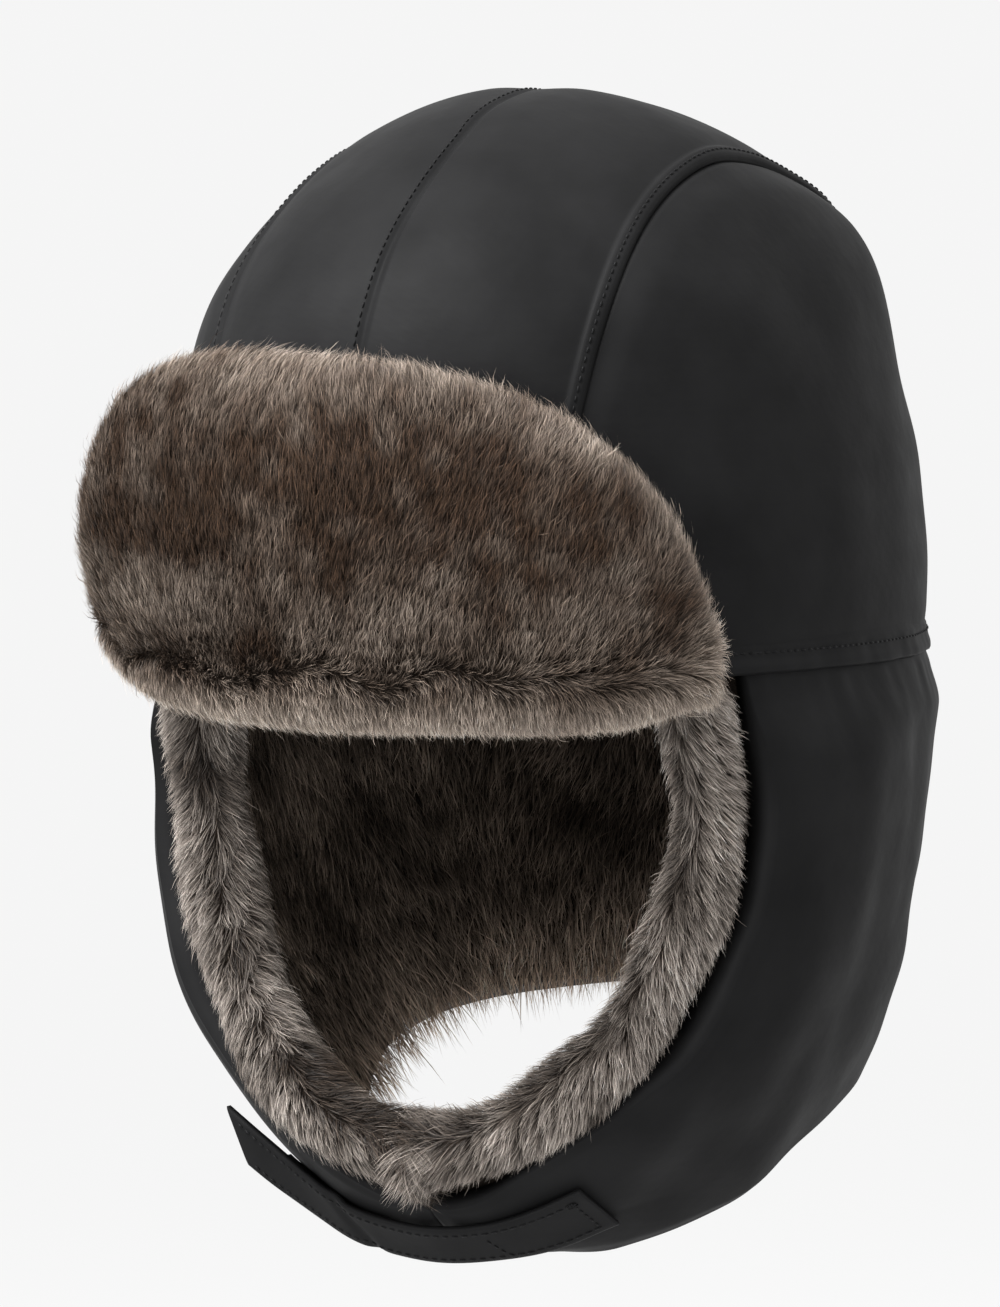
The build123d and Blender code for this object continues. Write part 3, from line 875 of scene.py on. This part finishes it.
def make_trim():
    path, depth = trim_path()
    n = normal(path, depth)
    along = unit(np.gradient(path, axis=0))
    forward = unit(np.cross(along, n))
    forward = forward * np.where(forward[:, 1:2] > 0, -1, 1) if forward[20, 1] > 0 else forward
    n = unit(np.cross(forward, along)) * np.sign(np.sum(np.cross(forward, along) * n, axis=-1, keepdims=True))
    turn = np.linspace(-0.62, 1.62, 44)[None, :] * math.pi
    s = np.linspace(0, 1, len(path))[:, None]
    fat = 1 - 0.10 * (1 - smooth(s, 0, 0.1)) + 0.10 * np.sin(s * 19 + 1)
    wide, deep = 8.2 * MM * fat, 7.2 * MM * fat
    ring = (path[:, None] + n[:, None] * (np.cos(turn) * wide)[..., None]
            + forward[:, None] * (np.sin(turn) * deep + 4.0 * MM)[..., None])
    around = (forward[:, None] * (np.cos(turn) * deep)[..., None]
              - n[:, None] * (np.sin(turn) * wide)[..., None])
    groove = np.exp(-((turn - 0.5 * math.pi) / 0.28) ** 2)
    out = unit(n[:, None] * (np.cos(turn) / wide)[..., None]
               + forward[:, None] * (np.sin(turn) / deep)[..., None])
    ring = ring - out * (1.8 * MM * groove)[..., None]
    for side, word in ((1, "left"), (-1, "right")):
        flip = np.array([side, 1, 1])
        skin, normals = ring * flip, out * flip
        inner = (np.repeat((path * flip)[:, None], ring.shape[1], axis=1)
                 + (skin - (path * flip)[:, None]) * 0.4)
        base = make_object(f"trim_base_{word}", *closed_patch(skin, inner), f"earflap_{word}", "trim_fur",
                           BROWN_BACKING)
        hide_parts(f"earflap_{word}_fur_trim")
        seed = 80 if side > 0 else 90
        root, rn, ra, ring_way, rt, rs = scatter(
            skin, normals, TRIM_HAIRS, seed,
            ((along * flip)[:, None] + 0 * skin, around * flip, turn + 0 * s, s + 0 * turn))
        # out from the middle line, and down along the edge
        part_line = rt - 0.5 * math.pi + 0.25 * bumps(root, 15 * MM, 93)
        away = np.clip(part_line / 0.35, -1, 1)[:, None]
        lay = unit(ring_way) * away * 0.75 + unit(ra) * 0.85
        patch = 0.5 * bumps(root, 16 * MM, 91) + 0.5 * bumps(root, 7 * MM, 92)
        ridge = np.exp(-((rt - 0.5 * math.pi) / 0.4) ** 2)
        light = np.clip(0.82 + 0.14 * side + 0.54 * patch - 0.45 * ridge
                        - 0.42 * smooth(rs, 0.55, 0.9), 0, 1.3)
        tip = mix((0.10, 0.074, 0.056), (0.66, 0.60, 0.54), light)
        body = mix((0.026, 0.0185, 0.0135), (0.20, 0.165, 0.14), light)
        root_tint = mix((0.007, 0.005, 0.004), (0.03, 0.023, 0.018), light)
        hair = strands(f"trim_hair_{word}", root, rn, lay, (9.0 + 4 * smooth(rs, 0.94, 1)) * MM,
                       0.50 + 0 * rt,
                       (root_tint, body, tip), seed + 3, width=0.21 * MM, clump=4.4 * MM, pull=0.62)
        hair.data.materials.append(TRIM_HAIR)
        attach(hair, f"earflap_{word}")


make_trim()


# ---------------------------------------------------------------- the fur lining

def lining_hair(name, skin, n, count, seed, lay, fringe, width=0.30 * MM, length=10 * MM):
    root, rn, rl, edge = scatter(skin, n, count, seed, (lay, fringe))
    patch = 0.6 * bumps(root, 22 * MM, 101) + 0.5 * bumps(root, 8 * MM, 102)
    light = np.clip(0.72 + 0.60 * patch + 2.8 * edge, 0, 3.6)
    tip = mix((0.050, 0.036, 0.025), (0.42, 0.33, 0.26), light)
    body = mix((0.020, 0.0145, 0.0105), (0.13, 0.100, 0.077), light)
    root_tint = mix((0.006, 0.0045, 0.0035), (0.02, 0.015, 0.012), light)
    hair = strands(name, root, rn, rl, length + 3 * MM * edge, 0.40 - 0.2 * edge,
                   (root_tint, body, tip), seed + 1, width=width, clump=4 * MM, pull=0.5, stray=0.4)
    hair.data.materials.append(LINING_HAIR)
    return hair


def make_lining():
    d, u, v = skirt_grid(7 * MM, lift=6 * MM, top=-6 * MM, rows=80, columns=120)
    base_skin = surface(d, 9 * MM)
    base_back = surface(d, 7 * MM)
    out = -normal(base_skin, 9 * MM)
    for side, word in ((1, "left"), (-1, "right")):
        flip = np.array([side, 1, 1])
        skin, back = base_skin * flip, base_back * flip
        skin[:, -1, 0] = back[:, -1, 0] = 0
        base = make_object(f"lining_{word}", *closed_patch(skin, back), None, "lining_fur", DARK_BACKING)
        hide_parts(f"earflap_{word}_fur_lining", "neck_flap_fur_lining")
        lay = (np.broadcast_to(-UP, skin.shape)
               + 0.25 * np.stack([bumps(skin, 40 * MM, k) for k in (111, 112, 113)], -1))
        hair = lining_hair(f"lining_hair_{word}", skin, out * flip, LINING_HAIRS,
                           120 if side > 0 else 130, lay, smooth(v, 0.60, 0.95) + 0 * u)
        for obj in (base, hair):
            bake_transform(obj)
    theta = np.linspace(0, 2 * math.pi, 181)[None, :]
    rise = np.linspace(0, 1, 60)[:, None]
    brow = np.cos(theta) > math.cos(math.radians(66))
    foot = np.where(brow, -15 * MM, -7 * MM)
    floor_d = direction(theta, foot)
    z = floor_d[..., 2] * (1 - rise) + rise
    d = unit(np.stack([floor_d[..., 0] * (1 - rise), floor_d[..., 1] * (1 - rise), z], -1))
    skin, back = surface(d, 9.5 * MM), surface(d, 7.4 * MM)
    dome = make_object("lining_crown", *closed_patch(skin, back), "crown", "lining_fur", DARK_BACKING)
    clean(dome)
    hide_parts("crown_fur_lining")
    n = -normal(skin, 9.5 * MM)
    lay = np.broadcast_to(-UP, skin.shape) + 0.25 * n
    hair = lining_hair("lining_hair_crown", skin, n, CROWN_LINING_HAIRS, 140, lay,
                       0 * skin[..., 0], width=0.6 * MM)
    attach(hair, "crown")


make_lining()


# ---------------------------------------------------------------- the chin strap

STRAP_TOP_LINE = [(-73, -55.6, -134.3), (-60, -58, -143.2), (-46, -60.9, -152.3), (-30, -65.5, -160.1),
                  (-15, -68, -163.5), (0, -69.2, -164.3), (16, -67.6, -163), (31, -66, -158),
                  (43.5, -63.7, -152)]
STRAP_FOOT_LINE = [(-66, -55.7, -150.6), (-56, -54.5, -158.2), (-44, -55, -165), (-30, -56.5, -171),
                   (-15, -57, -174), (0, -57, -174.6), (19, -53.6, -172.8), (33, -50, -169),
                   (46, -44.5, -163)]
STRAP_THICK = 1.6 * MM


def make_strap():
    top = spline(STRAP_TOP_LINE, 160) * MM
    foot = spline(STRAP_FOOT_LINE, 160) * MM
    v = np.linspace(0, 1, 34)[:, None, None]
    p = foot[None] * (1 - v) + top[None] * v
    n = grid_normals(p, normal(p))
    vv = v[..., 0]
    fold = (p[..., 0] + 30 * MM) + 0.8 * (p[..., 2] + 165 * MM)
    ripple = 0.45 * MM * bumps(p, 18 * MM, 151) - 0.9 * MM * np.exp(-(fold / (2.0 * MM)) ** 2)
    edge = -0.5 * MM * (np.abs(2 * vv - 1) ** 10)
    lift = ripple + edge
    outer = p + n * lift[..., None]
    inner = p + n * (lift - STRAP_THICK)[..., None]
    strap = make_object("strap", *closed_patch(outer, inner), None, "shell_fabric", SHELL)
    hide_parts("chin_strap", "chin_strap_sewn_end")
    low, high = int(0.10 * p.shape[1]), int(0.36 * p.shape[1])
    tape = slice(7, -7), slice(low, high)
    hook = make_object("hook_tape", *closed_patch((inner + n * 0.3 * MM)[tape], (inner - n * 0.9 * MM)[tape]),
                       "chin_strap", "hook_and_loop", TAPE)
    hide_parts("hook_patch")
    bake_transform(strap)
    rows, columns = outer.shape[:2]

    def stitch_line(name, path_v, path_u, **kw):
        i = np.clip(path_v, 0, 1) * (rows - 1)
        j = np.clip(path_u, 0, 1) * (columns - 1)
        i0, j0 = np.floor(i).astype(int).clip(0, rows - 2), np.floor(j).astype(int).clip(0, columns - 2)
        fi, fj = (i - i0)[:, None], (j - j0)[:, None]

        def at(g):
            return (g[i0, j0] * (1 - fi) * (1 - fj) + g[i0 + 1, j0] * fi * (1 - fj)
                    + g[i0, j0 + 1] * (1 - fi) * fj + g[i0 + 1, j0 + 1] * fi * fj)
        obj = stitches(name, at(outer), unit(at(n)), None, **kw)
        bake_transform(obj)

    t = np.linspace(0, 1, 200)
    stitch_line("stitches_strap_top", 0.86 + 0 * t, 0.02 + 0.96 * t)
    stitch_line("stitches_strap_foot", 0.14 + 0 * t, 0.02 + 0.96 * t)
    box_u = np.array([0.73, 0.965, 0.965, 0.745, 0.73])
    box_v = np.array([0.86, 0.86, 0.14, 0.14, 0.86])
    s = np.linspace(0, 4, 200)
    stitch_line("stitches_strap_box", np.interp(s, range(5), box_v), np.interp(s, range(5), box_u))
    zigzag = np.abs((np.linspace(0, 9, 400) % 2) - 1)
    stitch_line("stitches_strap_bartack", 0.80 + 0.11 * zigzag, np.linspace(0.950, 0.972, 400),
                pitch=0.9 * MM, long=0.8 * MM, lift=0.25 * MM)


make_strap()

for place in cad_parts["loop_patch"].material_slots:
    place.material = TAPE
